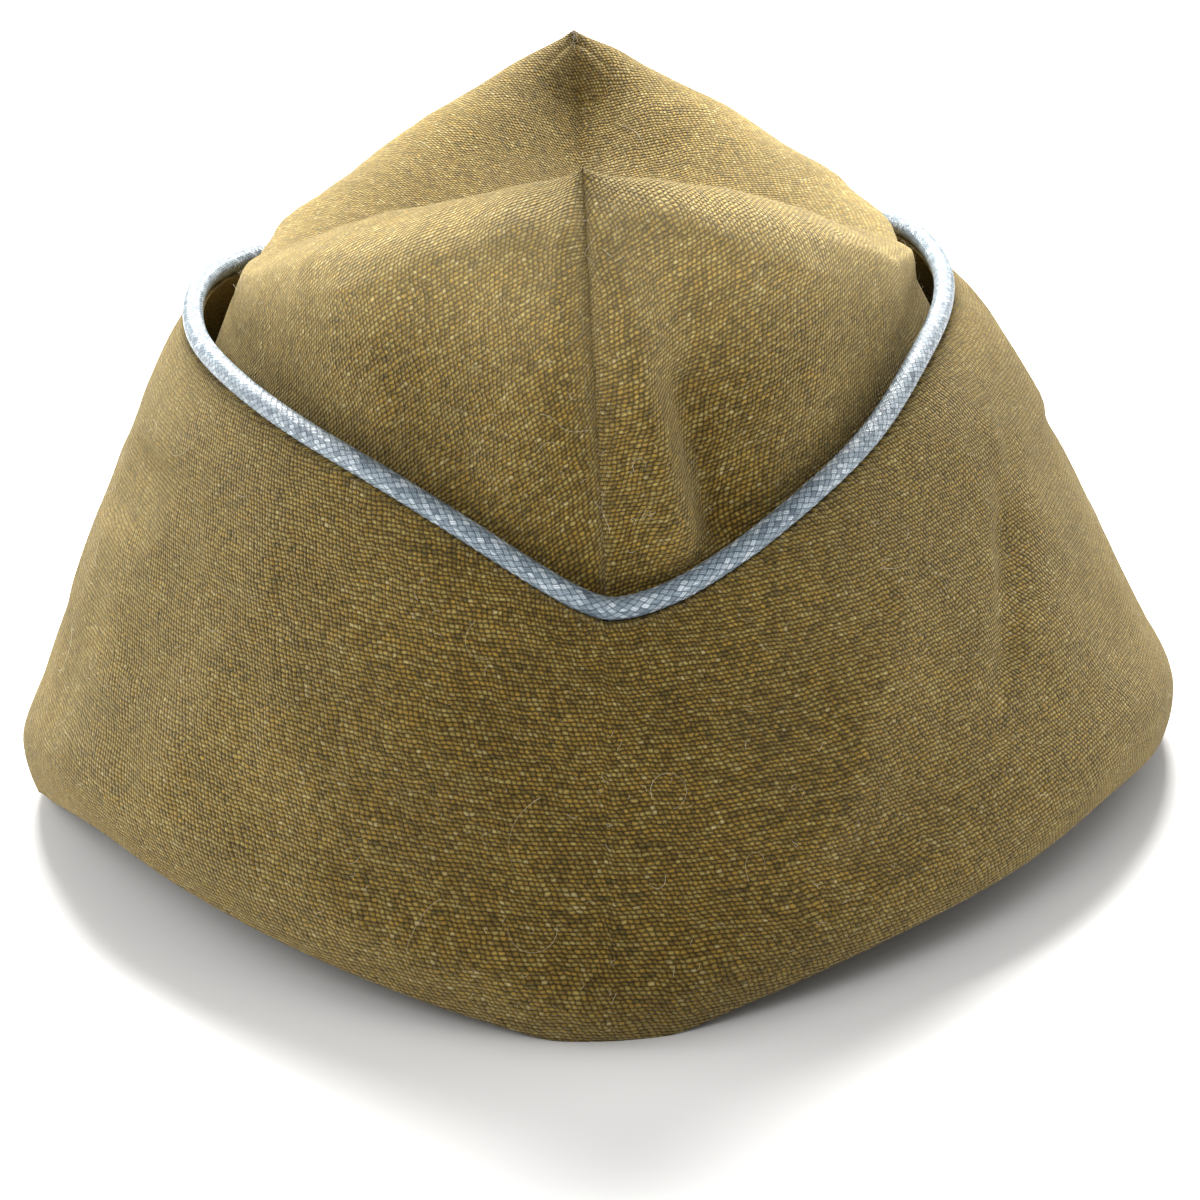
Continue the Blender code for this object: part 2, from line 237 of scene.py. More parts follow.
# A row for each fold: the side it is on, its station and level at the lower and upper end, its
# half-width in stations, and its depth as a share of FOLD_DEPTH, where outwards is positive.
# Levels of the crown run 0 at the braid to 1 at the crest, and those of the curtain 0 to 1.
FOLD_COLUMNS = ("side", "low_station", "low_level", "high_station", "high_level", "half_width", "depth")
CROWN_FOLDS = (
    (1, 0.070, 0.00, 0.045, 0.75, 0.030, 0.62),
    (1, 0.112, 0.00, 0.100, 0.80, 0.035, -0.62),
    (1, 0.200, 0.10, 0.220, 0.95, 0.060, 0.40),
    (-1, 0.060, 0.05, 0.055, 0.80, 0.040, 0.30),
    (-1, 0.130, 0.05, 0.140, 0.85, 0.045, -0.40),
    (-1, 0.220, 0.10, 0.240, 0.95, 0.060, 0.45),
)
CURTAIN_FOLDS = (
    (1, 0.345, 0.80, 0.315, 0.56, 0.018, -0.32),
    (1, 0.320, 0.70, 0.290, 0.46, 0.018, -0.36),
    (1, 0.290, 0.60, 0.255, 0.38, 0.020, -0.30),
    (1, 0.205, 0.75, 0.120, 0.25, 0.030, 0.35),
    (1, 0.470, 0.70, 0.460, 1.00, 0.110, 0.55),
    (-1, 0.400, 0.62, 0.360, 0.82, 0.050, -0.55),
    (-1, 0.300, 0.35, 0.285, 0.70, 0.050, -0.35),
    (-1, 0.075, 0.60, 0.055, 0.90, 0.040, -0.30),
)

# Narrower folds than the solids carry, with the same columns
FINE_CROWN_FOLDS = (
    (1, 0.072, 0.00, 0.047, 0.55, 0.024, 0.45),
    (1, 0.101, 0.00, 0.082, 0.50, 0.018, -0.95),
    (1, 0.000, 0.10, 0.000, 0.90, 0.014, -0.30),
    (-1, 0.000, 0.10, 0.000, 0.90, 0.014, -0.30),
    (-1, 0.035, 0.20, 0.040, 0.90, 0.020, 0.30),
    (-1, 0.240, 0.42, 0.030, 0.90, 0.040, 0.34),
    (-1, 0.260, 0.62, 0.060, 0.96, 0.028, -0.22),
    (-1, 0.300, 0.80, 0.090, 1.02, 0.028, 0.16),
    (1, 0.240, 0.50, 0.030, 0.96, 0.030, 0.28),
    (1, 0.270, 0.72, 0.060, 0.99, 0.022, -0.24),
)
FINE_CURTAIN_FOLDS = (
    (1, 0.330, 0.78, 0.290, 0.50, 0.010, -0.16),
    (1, 0.305, 0.68, 0.262, 0.40, 0.010, -0.16),
    (1, 0.348, 0.88, 0.325, 0.62, 0.012, 0.14),
    (1, 0.160, 0.70, 0.060, 0.10, 0.040, 0.18),
    (-1, 0.200, 0.55, 0.120, 0.05, 0.040, 0.20),
    (-1, 0.260, 0.15, 0.240, 0.55, 0.030, 0.18),
    (-1, 0.030, 0.70, 0.020, 0.20, 0.040, -0.14),
)

# Soft unevenness of the cloth: its height, the width of one wave, and its random seed
CLOTH_WAVE = 0.00042
CLOTH_WAVE_WIDTH = 0.030
CLOTH_WAVE_SEED = 5
CLOTH_RIPPLE = 0.00012
CLOTH_RIPPLE_WIDTH = 0.009
CLOTH_RIPPLE_SEED = 8

# A field of waves has a few sizes of wave, and each is a sum of sines with more or fewer turns
WAVE_SIZES = 2
SINES_PER_SIZE = 6
SINE_TURNS = (0.6, 1.2)
UNEVEN_POWER = 0.6

# The tips of the two peaks are worn round: how far down, and how far round about
PEAK_WEAR = 0.0018
PEAK_WEAR_REACH = 0.0075

# Where a highlight is painted on the cloth near the crest, standing in for the top light there: the
# share of the wall that it starts at, and the levels past it
CREST_HIGHLIGHT_FROM = 0.36
CREST_HIGHLIGHT_TOP_LEVELS = 16

# The plait of the braid
BRAID_LINE_POINTS = 1500
BRAID_SEGMENTS = 2700
BRAID_SIDES = 36
BRAID_CARRIERS = 20
BRAID_PITCH = 0.0014
BRAID_RELIEF = 0.00016
BRAID_EASE_ROUNDS = 260
BRAID_THREADS = 3

# Stray fibres. Each starts this many points in from the edge of its grid, or more, and a lying
# one follows the cloth up to this many points away.
LINT_SEED = 11
LINT_STEPS = 12
LINT_SIDES = 4
LINT_RADIUS = 0.000028
LINT_TIP = 0.5
LINT_LIFT = 0.00006
LINT_CURL = 2.4
LINT_WAVE = 0.6
LINT_WAVE_TURN = 5
LINT_MARGIN = 4
LINT_REACH = 12
LINT_TONE_SCALE = 60.0
LONG_FIBRE = (0.004, 0.013)
SHORT_FIBRE = (0.0007, 0.0020)
STANDING = 0.45

# The weave, in millimetres: the pitch of the floats and the width of a row. Each row lies a
# share of a pitch further along than the last, and a float leans by a share of its length.
WEAVE_PITCH = 0.74
WEAVE_ROW = 0.58
WEAVE_SHIFT = 0.42
FLOAT_LEAN = 0.30
FLOAT_ACROSS_POWER = 0.95
FLOAT_ALONG_POWER = 0.75

# How the yarns wander: the scale of the noise, and its reach in millimetres
YARN_DRIFT = (0.12, 2.2)
YARN_SWAY = (1.1, 0.62)
YARN_LIFT = (1.0, 0.46)
DRIFT_ACROSS = 0.6

# Noise: its scale, detail and roughness
YARN_TONES = (0.85, 2.0, 0.6)
PATCHES = (0.045, 3.0, 0.55)

# Noise drawn out along a yarn: its scales along and across, detail and roughness
YARN_FIBRES = (2.2, 9.0, 3.0, 0.7)
YARN_STREAKS = (0.10, 0.9, 2.0, 0.6)
BRAID_FIBRES = (9.0, 1.6, 2.0, 0.6)

# Spreads: the range of a number, and the range that it is spread over, 0 to 1 if not given
FLECK_SPREAD = (0.975, 1.0)
FIBRE_SPREAD = (0.30, 0.70)
FLOAT_SPREAD = (0.10, 0.86)
MOTTLE_SPREAD = (0.3, 0.7, 0.84, 1.14)
NOISE_TONE_SPREAD = (0.25, 0.75, 0.80, 1.36)
FLOAT_TONE_SPREAD = (0.0, 1.0, 0.78, 1.26)
STRAND_END_SPREAD = (0.0, 1.0, 0.42, 1.0)
STRAND_SPREAD = (0.12, 0.62)
THREAD_SPREAD = (-0.5, 1.1, 0.45, 1.0)

# Tones of the mixed yarns, by a random number. A tint is what another tone is multiplied by.
SERGE_TONES = (
    (0.20, (0.150, 0.120, 0.034)),
    (0.38, (0.232, 0.154, 0.030)),
    (0.50, (0.312, 0.198, 0.034)),
    (0.62, (0.268, 0.200, 0.056)),
    (0.80, (0.345, 0.268, 0.092)),
)
BRAID_TONES = (
    (0.22, (0.100, 0.150, 0.200)),
    (0.42, (0.235, 0.315, 0.375)),
    (0.60, (0.330, 0.410, 0.470)),
    (0.82, (0.640, 0.720, 0.770)),
)
LINT_TONES = (
    (0.35, (0.34, 0.27, 0.13)),
    (0.65, (0.62, 0.56, 0.42)),
)
WORN_TINT = (0.62, 0.60, 0.52, 1)
# Painted shade in the gaps between the serge's floats
SERGE_GAP_SHADE = (0.20, 0.17, 0.11, 1)
# Painted shade in the gaps between the braid's strands and threads
BRAID_GAP_SHADE = (0.10, 0.14, 0.19, 1)
# Painted highlight near the crest: the tint and pale tone that stand in for the top light there, and
# the share of that tone
CREST_HIGHLIGHT_TINT = (1.80, 1.80, 1.80, 1)
CREST_HIGHLIGHT_TONE = (0.60, 0.50, 0.29, 1)
CREST_HIGHLIGHT_TONE_SHARE = 0.22
FLECK_TONE = (0.50, 0.44, 0.27, 1)
FLECK_SHARE = 0.30
SHEEN_TINT = (0.92, 0.76, 0.42, 1)

# Shares of the random numbers and of the fibres in the tones and in the relief
CHANCE_SHARE = 0.34
STREAK_SHARE = 0.66
ROW_SHARE = 0.02
CELL_SHARE = 0.5
STRAND_SHARE = 0.25
BRAID_FIBRE_SHARE = 0.35
THREAD_WANDER = 0.8
THREAD_RELIEF = 0.16
BRAID_FIBRE_RELIEF = 0.5
CLOTH_FIBRE_RELIEF = 0.28
BUMP_STRENGTH = 0.9
CLOTH_RELIEF = 0.00034

# A number of its own for each random field
FLOAT_SEED = 3.0
ROW_SEED = 7.0
TONE_SEED = 11.0
CELL_SEED = 5.0
STRAND_SEED = 9.0

# A row for each light: its name, place, target, width and height, watts and colour
LIGHTS = (
    ("softbox_behind", (0.0, 0.72, 0.92), (0.0, 0.0, 0.08), (0.7, 0.35), 50.0, (1.0, 0.99, 0.96)),
    ("softbox_left", (-0.80, 0.20, 0.50), (0.0, 0.0, 0.06), (0.5, 0.6), 3.4, (1.0, 0.99, 0.97)),
    ("softbox_right", (0.80, 0.30, 0.55), (0.0, 0.0, 0.06), (0.5, 0.6), 2.0, (1.0, 0.99, 0.97)),
    ("softbox_camera", (-0.35, -1.0, 0.75), (0.0, 0.0, 0.05), (0.6, 0.4), 4.4, (1.0, 1.0, 1.0)),
)
WORLD_STRENGTH = 0.50
FLOOR_HALF_SIDE = 6.0
FLOOR_TONE = (0.86, 0.86, 0.86, 1)

# Camera
IMAGE_SIDE = 1200
FOCAL_PIXELS = 3425.0
SENSOR_WIDTH = 36.0
CAMERA_PLACE = (0.0012, -0.5077, 0.1866)
CAMERA_DOWN = math.radians(17.50)
CAMERA_ROLL = math.radians(-3.13)


def column(rows, names, name, at):
    """A smooth curve through one column of a table, read at the given places of its first one."""
    table = np.array(rows, float)
    places = table[:, 0]
    values = table[:, names.index(name)]
    slopes = np.gradient(values, places)
    at = np.clip(at, places[0], places[-1])
    index = np.clip(np.searchsorted(places, at, side="right") - 1, 0, len(places) - 2)
    width = places[index + 1] - places[index]
    share = (at - places[index]) / width
    rest = 1 - share
    return (
        rest * rest * (1 + 2 * share) * values[index]
        + share * share * (1 + 2 * rest) * values[index + 1]
        + share * rest * rest * width * slopes[index]
        - share * share * rest * width * slopes[index + 1]
    )


def oval(station, half_width, half_length, squareness=2.0):
    """(distance from the middle plane, y) on an oval, for one side."""
    angle = math.pi * station
    across = half_width * np.abs(np.sin(angle)) ** (2 / squareness)
    along = -half_length * np.sign(np.cos(angle)) * np.abs(np.cos(angle)) ** (2 / squareness)
    return across, along


def pushed(across, along, half_width, half_length, squareness, distance):
    """A point of an oval, pushed outwards by a distance at right angles to the oval."""
    slope_across = (np.abs(across) / half_width) ** (squareness - 1) / half_width
    slope_along = np.sign(along) * (np.abs(along) / half_length) ** (squareness - 1) / half_length
    length = np.hypot(slope_across, slope_along)
    return across + distance * slope_across / length, along + distance * slope_along / length


def rim(station, distance):
    across, along = oval(station, RIM_HALF_WIDTH, RIM_HALF_LENGTH, RIM_SQUARENESS)
    return pushed(across, along, RIM_HALF_WIDTH, RIM_HALF_LENGTH, RIM_SQUARENESS, distance)


def rim_height(side, station):
    """The rim rests flat at the front and back, and arches a little on both sides of the ears."""
    rows = RIM_LINE_LEFT if side < 0 else RIM_LINE_RIGHT
    return RIM_ARCH * np.clip(column(rows, RIM_COLUMNS, "rise", station), 0, None)


def top_edge(side, station, distance):
    """(across, y, z) of the braid's middle line, pushed outwards by a distance."""
    rows = TOP_EDGE_LEFT if side < 0 else TOP_EDGE_RIGHT
    half_width = CURTAIN_TOP_HALF_WIDTH * column(rows, TOP_EDGE_COLUMNS, "spread", station)
    across, along = oval(station, half_width, CURTAIN_TOP_HALF_LENGTH)
    across, along = pushed(across, along, half_width, CURTAIN_TOP_HALF_LENGTH, 2.0, distance)
    height = CURTAIN_SIDE_HEIGHT * column(rows, TOP_EDGE_COLUMNS, "height", station)
    return across, along, height


def fold_height(rows, side, station, level):
    """How far the folds push the cloth outwards at a station and level."""
    total = np.zeros(np.broadcast(station, level).shape)
    for row in rows:
        fold = dict(zip(FOLD_COLUMNS, row))
        if fold["side"] != side:
            continue
        run = (level - fold["low_level"]) / (fold["high_level"] - fold["low_level"])
        middle = fold["low_station"] + (fold["high_station"] - fold["low_station"]) * run
        off = (station - middle) / fold["half_width"]
        past_end = np.clip(np.abs(run - 0.5) - FOLD_FULL_RUN, 0, None)
        fade = np.exp(-FOLD_FADE * past_end**2)
        total = total + FOLD_DEPTH * fold["depth"] * np.exp(-off * off) * fade
    return total


def waves(points, size, seed):
    """A smooth random height field in space, made of a few sine waves. About -1 to 1."""
    rng = np.random.default_rng(seed)
    total = np.zeros(points.shape[:-1])
    weight = 0.0
    for octave in range(WAVE_SIZES):
        for _ in range(SINES_PER_SIZE):
            direction = rng.normal(size=3)
            turns = (2 * math.pi / (size / 2**octave)) * rng.uniform(*SINE_TURNS)
            direction *= turns / np.linalg.norm(direction)
            total += np.sin(points @ direction + rng.uniform(0, 2 * math.pi)) / 2**octave
        weight += SINES_PER_SIZE / 2 / 2**octave
    return total / weight


def uneven(grid, weight):
    """How far the cloth's soft unevenness lifts each point of a grid."""
    lift = CLOTH_WAVE * waves(grid, CLOTH_WAVE_WIDTH, CLOTH_WAVE_SEED)
    lift += CLOTH_RIPPLE * waves(grid, CLOTH_RIPPLE_WIDTH, CLOTH_RIPPLE_SEED)
    return normals_of(grid) * (lift * weight)[..., None]


def curtain_grid(places, levels, inset):
    """Points of the curtain, a row for each (side, station) and a column for each level."""
    lean = column(CURTAIN_SECTION, CURTAIN_COLUMNS, "lean", levels)
    roll = CURTAIN_WALL * column(CURTAIN_SECTION, CURTAIN_COLUMNS, "roll", levels)
    folds = CURTAIN_FOLDS + FINE_CURTAIN_FOLDS
    rows = []
    for side, station in places:
        outwards = fold_height(folds, side, station, levels) - inset
        if inset == 0:
            outwards = outwards + roll
        rim_across, rim_along = rim(station, outwards)
        edge_across, edge_along, edge_height = top_edge(side, station, outwards + CURTAIN_WALL / 2)
        across = side * mixed(rim_across, edge_across, lean) + TOP_SHIFT * lean
        along = mixed(rim_along, edge_along, lean)
        top = edge_height - BRAID_DIAMETER / 2 - BRAID_GAP
        height = mixed(rim_height(side, station), top, levels)
        rows.append(np.stack([across, along, height], -1))
    return np.array(rows)


def crest(side, station, inset):
    """(across, y, z) of the fold where the crown's wall turns into its top."""
    back = CREST_BACK_Y + inset * CREST_INSET_ALONG
    front = CREST_FRONT_Y - inset * CREST_INSET_ALONG
    middle = (back + front) / 2
    reach = (front - back) / 2
    end = np.abs(np.cos(math.pi * station))
    plan_power = np.where(station < 0.5, BACK_PLAN_POWER, FRONT_PLAN_POWER)
    across = (CREST_HALF_WIDTH - inset) * (1 - end * end) ** plan_power
    along = middle - reach * np.cos(math.pi * station)
    back_end = np.clip(1 - np.hypot(1 - end, BACK_PEAK_ROUNDING) + BACK_PEAK_ROUNDING, 0, 1)
    front_end = np.clip(1 - np.hypot(1 - end, FRONT_PEAK_ROUNDING) + FRONT_PEAK_ROUNDING, 0, 1)
    side_height = CREST_LEFT_HEIGHT if side < 0 else CREST_RIGHT_HEIGHT
    back_rise = (BACK_PEAK_HEIGHT - side_height) * back_end**BACK_SLOPE_POWER
    front_rise = (FRONT_PEAK_HEIGHT - side_height) * front_end**FRONT_SLOPE_POWER
    height = side_height + np.where(station < 0.5, back_rise, front_rise) - inset * CREST_INSET_DOWN
    return across, along, height


def seam_height(along, inset):
    """Height of the top seam, which dips between the two peaks."""
    back = CREST_BACK_Y + inset * CREST_INSET_ALONG
    front = CREST_FRONT_Y - inset * CREST_INSET_ALONG
    share = (along - back) / (front - back)
    drop = column(TOP_SEAM, SEAM_COLUMNS, "drop", share)
    peak = np.where(share < 0.5, BACK_PEAK_HEIGHT, FRONT_PEAK_HEIGHT)
    return peak - (peak - SADDLE_HEIGHT) * drop - inset * CREST_INSET_DOWN


def waist(side, station, inset):
    """(across, y, z) where the crown passes the braid."""
    rows = TOP_EDGE_LEFT if side < 0 else TOP_EDGE_RIGHT
    gap = FOLD_DEPTH * column(rows, TOP_EDGE_COLUMNS, "crown_gap", station)
    return top_edge(side, station, -BRAID_DIAMETER / 2 - gap - inset)


def mixed(first, second, share):
    return first + (second - first) * share


def crown_row(side, station, inset):
    """Points of a crown panel at one station, from the rim over the crest to the top seam."""
    bottom_across, bottom_along = rim(station, -CURTAIN_WALL - CURTAIN_GAP - inset)
    bottom = np.array([bottom_across, bottom_along, rim_height(side, station) + CROWN_LIFT])
    middle = np.array(waist(side, station, inset))
    top = np.array(crest(side, station, inset))
    seam = np.array([0.0, top[1], min(float(seam_height(top[1], inset)), top[2])])
    end = abs(math.cos(math.pi * station))
    bulge = CROWN_SIDE_BULGE + (CROWN_BULGE - CROWN_SIDE_BULGE) * end
    wall_cut = min(CREST_ROUNDING / np.linalg.norm(top - middle), 0.5)
    top_cut = min(CREST_ROUNDING / max(np.linalg.norm(top - seam), SHORTEST_TOP), 0.5)

    share = np.linspace(0, 1, LOWER_LEVELS + 1)[:-1, None]
    lower = mixed(bottom, middle, share)

    share = np.linspace(0, 1 - wall_cut, WALL_LEVELS)
    wall = mixed(middle, top, share[:, None])
    out = bulge * np.sin(math.pi * share) * (BULGE_LOW + (BULGE_HIGH - BULGE_LOW) * share)
    out = out + fold_height(CROWN_FOLDS + FINE_CROWN_FOLDS, side, station, share)
    turn = np.arctan2(wall[:, 1] / CURTAIN_TOP_HALF_LENGTH, wall[:, 0] / CURTAIN_TOP_HALF_WIDTH)
    push = np.stack([out * np.cos(turn), out * np.sin(turn), out * BULGE_LIFT], -1)
    wall_end = wall[-1]
    wall = wall + push

    finish = mixed(top, seam, top_cut)
    share = np.linspace(0, 1, CREST_LEVELS)[1:-1, None]
    corner = mixed(mixed(wall_end, top, share), mixed(top, finish, share), share)
    corner = corner + push[-1] * (1 - share) ** 2

    even = np.linspace(0, 1, TOP_LEVELS)
    share = top_cut + (1 - top_cut) * np.sin(even * math.pi / 2) ** TOP_SEAM_CROWDING
    roof = mixed(top, seam, share[:, None])
    return np.concatenate([lower, wall, corner, roof])


def ease_crest(grid):
    """The cloth turns over the crest softly."""
    start = LOWER_LEVELS + WALL_LEVELS - CREST_EASE_REACH
    end = LOWER_LEVELS + WALL_LEVELS + CREST_LEVELS + CREST_EASE_REACH // 2
    for _ in range(CREST_EASE_ROUNDS):
        below = grid[:, start - 1:end - 1]
        above = grid[:, start + 1:end + 1]
        grid[:, start:end] = (below + 2 * grid[:, start:end] + above) / 4


def wear_peaks(grid):
    """The tips of the two peaks are worn down a little."""
    for peak_y, peak_z in ((CREST_BACK_Y, BACK_PEAK_HEIGHT), (CREST_FRONT_Y, FRONT_PEAK_HEIGHT)):
        away = np.linalg.norm(grid - (0, peak_y, peak_z), axis=-1) / PEAK_WEAR_REACH
        grid[..., 2] -= PEAK_WEAR * np.exp(-(away**2))


def turned_in(grid):
    """The panel's edge turns in where it is sewn to the other panel."""
    near = np.exp(-grid[..., 0] / SEAM_GROOVE_WIDTH)
    inwards = np.array([0.0, 0.0, GROOVE_CENTRE_HEIGHT]) - grid
    inwards[..., 0] = 0
    inwards /= np.linalg.norm(inwards, axis=-1, keepdims=True)
    return grid + inwards * (SEAM_GROOVE_DEPTH * near)[..., None]


def crown_grid(side, stations, inset):
    """Points of a crown panel, a row for each station and a column for each level."""
    grid = np.array([crown_row(side, station, inset) for station in stations])
    ease_crest(grid)
    wear_peaks(grid)
    grid = turned_in(grid)
    grid[..., 0] += SEAM_GAP / 2
    grid[..., 0] *= side
    grid[:, :LOWER_LEVELS, 0] += TOP_SHIFT * np.linspace(0, 1, LOWER_LEVELS + 1)[:-1]
    grid[:, LOWER_LEVELS:, 0] += TOP_SHIFT
    return grid


def normals_of(grid):
    """Unit normals of a grid of points."""
    along = np.gradient(grid, axis=0)
    up = np.gradient(grid, axis=1)
    normal = np.cross(along, up)
    length = np.linalg.norm(normal, axis=-1, keepdims=True)
    return normal / np.maximum(length, 1e-12)


def quads(grid):
    """The corners of every face of a grid of point numbers."""
    corners = [grid[:-1, :-1], grid[1:, :-1], grid[1:, 1:], grid[:-1, 1:]]
    return np.stack(corners, -1).reshape(-1, 4)


def unwrapped(coarse):
    """UV of a coarse grid of points, as its cloth lies when it is cut flat, at any size."""
    index = np.arange(coarse.shape[0] * coarse.shape[1]).reshape(coarse.shape[:2])
    mesh = bpy.data.meshes.new("flat_pattern")
    mesh.from_pydata(coarse.reshape(-1, 3).tolist(), [], quads(index).tolist())
    mesh.uv_layers.new(name="UVMap")
    pattern = bpy.data.objects.new("flat_pattern", mesh)
    bpy.context.scene.collection.objects.link(pattern)
    bpy.context.view_layer.objects.active = pattern
    pattern.select_set(True)
    bpy.ops.object.mode_set(mode="EDIT")
    bpy.ops.mesh.select_all(action="SELECT")
    bpy.ops.uv.unwrap(method="MINIMUM_STRETCH", margin=0.0, iterations=PATTERN_ROUNDS)
    bpy.ops.object.mode_set(mode="OBJECT")
    corners = np.empty(len(mesh.loops) * 2)
    mesh.uv_layers.active.data.foreach_get("uv", corners)
    vertex = np.empty(len(mesh.loops), int)
    mesh.loops.foreach_get("vertex_index", vertex)
    flat = np.zeros((len(mesh.vertices), 2))
    flat[vertex] = corners.reshape(-1, 2)
    bpy.data.objects.remove(pattern)
    return flat.reshape(*coarse.shape[:2], 2)


def coarse_places(count, steps):
    """Numbers of the points that a coarse grid keeps, with the last one among them."""
    step = max(1, (count - 1) // steps)
    return np.unique(np.append(np.arange(0, count, step), count - 1))


def flattened(grid):
    """UV in millimetres of a grid of points, as its cloth lies when it is cut flat."""
    rows = coarse_places(len(grid), PATTERN_ROWS)
    columns = coarse_places(grid.shape[1], PATTERN_COLUMNS)
    coarse = grid[np.ix_(rows, columns)]
    flat = unwrapped(coarse)
    real = np.linalg.norm(np.diff(coarse, axis=1), axis=-1).sum()
    drawn = np.linalg.norm(np.diff(flat, axis=1), axis=-1).sum()
    flat *= 1000 * real / drawn
    # Turn it so that the rim's middle runs along U, and V goes up the cap
    middle = len(rows) // 2
    run = flat[middle + 1, 0] - flat[middle - 1, 0]
    angle = -math.atan2(run[1], run[0])
    turn = np.array([[math.cos(angle), -math.sin(angle)], [math.sin(angle), math.cos(angle)]])
    flat = (flat - flat[middle, 0]) @ turn.T
    fine = np.empty((*grid.shape[:2], 2))
    for axis in range(2):
        held = np.empty((len(grid), len(columns)))
        for number in range(len(columns)):
            held[:, number] = np.interp(np.arange(len(grid)), rows, flat[:, number, axis])
        for number in range(len(grid)):
            fine[number, :, axis] = np.interp(np.arange(grid.shape[1]), columns, held[number])
    return fine


def strip(first, second):
    """The corners of the faces between two rows of point numbers."""
    return np.stack([first[:-1], second[:-1], second[1:], first[1:]], -1)


def wall_faces(front, back, closed_round):
    """Faces of a closed wall between two grids of point numbers."""
    faces = [
        quads(front),
        quads(back)[:, ::-1],
        strip(front[:, 0], back[:, 0]),
        strip(back[:, -1], front[:, -1]),
    ]
    if not closed_round:
        faces.append(strip(back[0], front[0]))
        faces.append(strip(front[-1], back[-1]))
    return np.concatenate(faces)


def wall_mesh(name, outer, inner, flat, closed_round):
    """A closed wall of cloth between two grids of points, with the flat pattern as its UV."""
    count, levels = outer.shape[:2]
    index = np.arange(count * levels).reshape(count, levels)
    if closed_round:
        index = np.concatenate([index, index[:1]])
        flat = np.concatenate([flat, 2 * flat[-1:] - flat[-2:-1]])
    faces = wall_faces(index, index + count * levels, closed_round)
    pattern = np.arange(len(index) * levels).reshape(len(index), levels)
    corners = wall_faces(pattern, pattern, closed_round)
    mesh = bpy.data.meshes.new(name)
    points = np.concatenate([outer.reshape(-1, 3), inner.reshape(-1, 3)])
    mesh.from_pydata(points.tolist(), [], faces.tolist())
    layer = mesh.uv_layers.new(name="cloth")
    layer.data.foreach_set("uv", flat.reshape(-1, 2)[corners.reshape(-1)].reshape(-1))
    return mesh


def finished(name, mesh, material, node):
    """A piece made of a mesh, riding on the cap and standing for a node."""
    mesh.materials.append(material)
    mesh.validate()
    mesh.shade_smooth()
    piece = bpy.data.objects.new(name, mesh)
    bpy.context.scene.collection.objects.link(piece)
    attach(piece, "root")
    if node:
        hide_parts(node)


class Nodes:
    """Short ways to add shader nodes to a material."""

    def __init__(self, name):
        self.material = bpy.data.materials.new(name)
        self.material.use_nodes = True
        self.tree = self.material.node_tree
        self.shader = self.tree.nodes["Principled BSDF"]

    def add(self, kind, *values):
        """A new shader node, with its first inputs filled."""
        node = self.tree.nodes.new("ShaderNode" + kind)
        for socket, value in zip(node.inputs, values):
            self.put(socket, value)
        return node

    def put(self, socket, value):
        if isinstance(value, bpy.types.NodeSocket):
            self.tree.links.new(value, socket)
        else:
            socket.default_value = value

    def surface(self, name, value):
        self.put(self.shader.inputs[name], value)

    def cloth_place(self):
        """The two numbers of a place on the flat pattern."""
        node = self.add("UVMap")
        node.uv_map = "cloth"
        along, up, _ = self.add("SeparateXYZ", node.outputs[0]).outputs
        return along, up

    def math(self, operation, first, second=0.0, third=0.0):
        node = self.add("Math", first, second, third)
        node.operation = operation
        return node.outputs[0]

    def plus(self, first, second):
        return self.math("ADD", first, second)

    def minus(self, first, second):
        return self.math("SUBTRACT", first, second)

    def times(self, first, second):
        return self.math("MULTIPLY", first, second)

    def hump(self, place, power):
        """A rounded hump over each whole step of a number."""
        wave = self.math("SINE", self.times(place, math.pi))
        return self.math("POWER", self.math("ABSOLUTE", wave), power)

    def blend_numbers(self, share, first, second):
        node = self.add("Mix")
        node.data_type = "FLOAT"
        self.put(node.inputs["Factor"], share)
        self.put(node.inputs[2], first)
        self.put(node.inputs[3], second)
        return node.outputs[0]

    def join(self, x, y, z=0.0):
        return self.add("CombineXYZ", x, y, z).outputs[0]

    def noise(self, vector, scale, detail=2.0, roughness=0.5):
        node = self.add("TexNoise")
        self.put(node.inputs["Vector"], vector)
        node.inputs["Scale"].default_value = scale
        node.inputs["Detail"].default_value = detail
        node.inputs["Roughness"].default_value = roughness
        return node.outputs["Fac"]

    def drawn_out(self, first, second, along, across, detail, roughness):
        """Noise drawn out along a yarn, by its scales along and across."""
        place = self.join(self.times(first, along), self.times(second, across))
        return self.noise(place, 1.0, detail, roughness)

    def wander(self, vector, scale, reach):
        """Noise about 0, as far as half its reach each way."""
        return self.times(self.minus(self.noise(vector, scale), 0.5), reach)

    def random(self, vector):
        node = self.add("TexWhiteNoise")
        node.noise_dimensions = "3D"
        self.put(node.inputs["Vector"], vector)
        return node.outputs["Value"]

    def tinted(self, colour, tint):
        return self.mix(1.0, colour, tint, "MULTIPLY")

    def relief(self, height, distance):
        """Bends the light as relief of this height would."""
        node = self.add("Bump")
        node.inputs["Strength"].default_value = BUMP_STRENGTH
        node.inputs["Distance"].default_value = distance
        self.put(node.inputs["Height"], height)
        self.surface("Normal", node.outputs[0])

    def mix(self, share, first, second, blend="MIX"):
        node = self.add("Mix")
        node.data_type = "RGBA"
        node.blend_type = blend
        self.put(node.inputs["Factor"], share)
        self.put(node.inputs[6], first)
        self.put(node.inputs[7], second)
        return node.outputs[2]

    def spread(self, value, low, high, to_low=0.0, to_high=1.0):
        return self.add("MapRange", value, low, high, to_low, to_high).outputs[0]

    def ramp(self, value, stops):
        node = self.add("ValToRGB", value)
        elements = node.color_ramp.elements
        while len(elements) < len(stops):
            elements.new(0.5)
        for element, (place, colour) in zip(elements, stops):
            element.position = place
            element.color = (*colour, 1.0)
        return node.outputs[0]


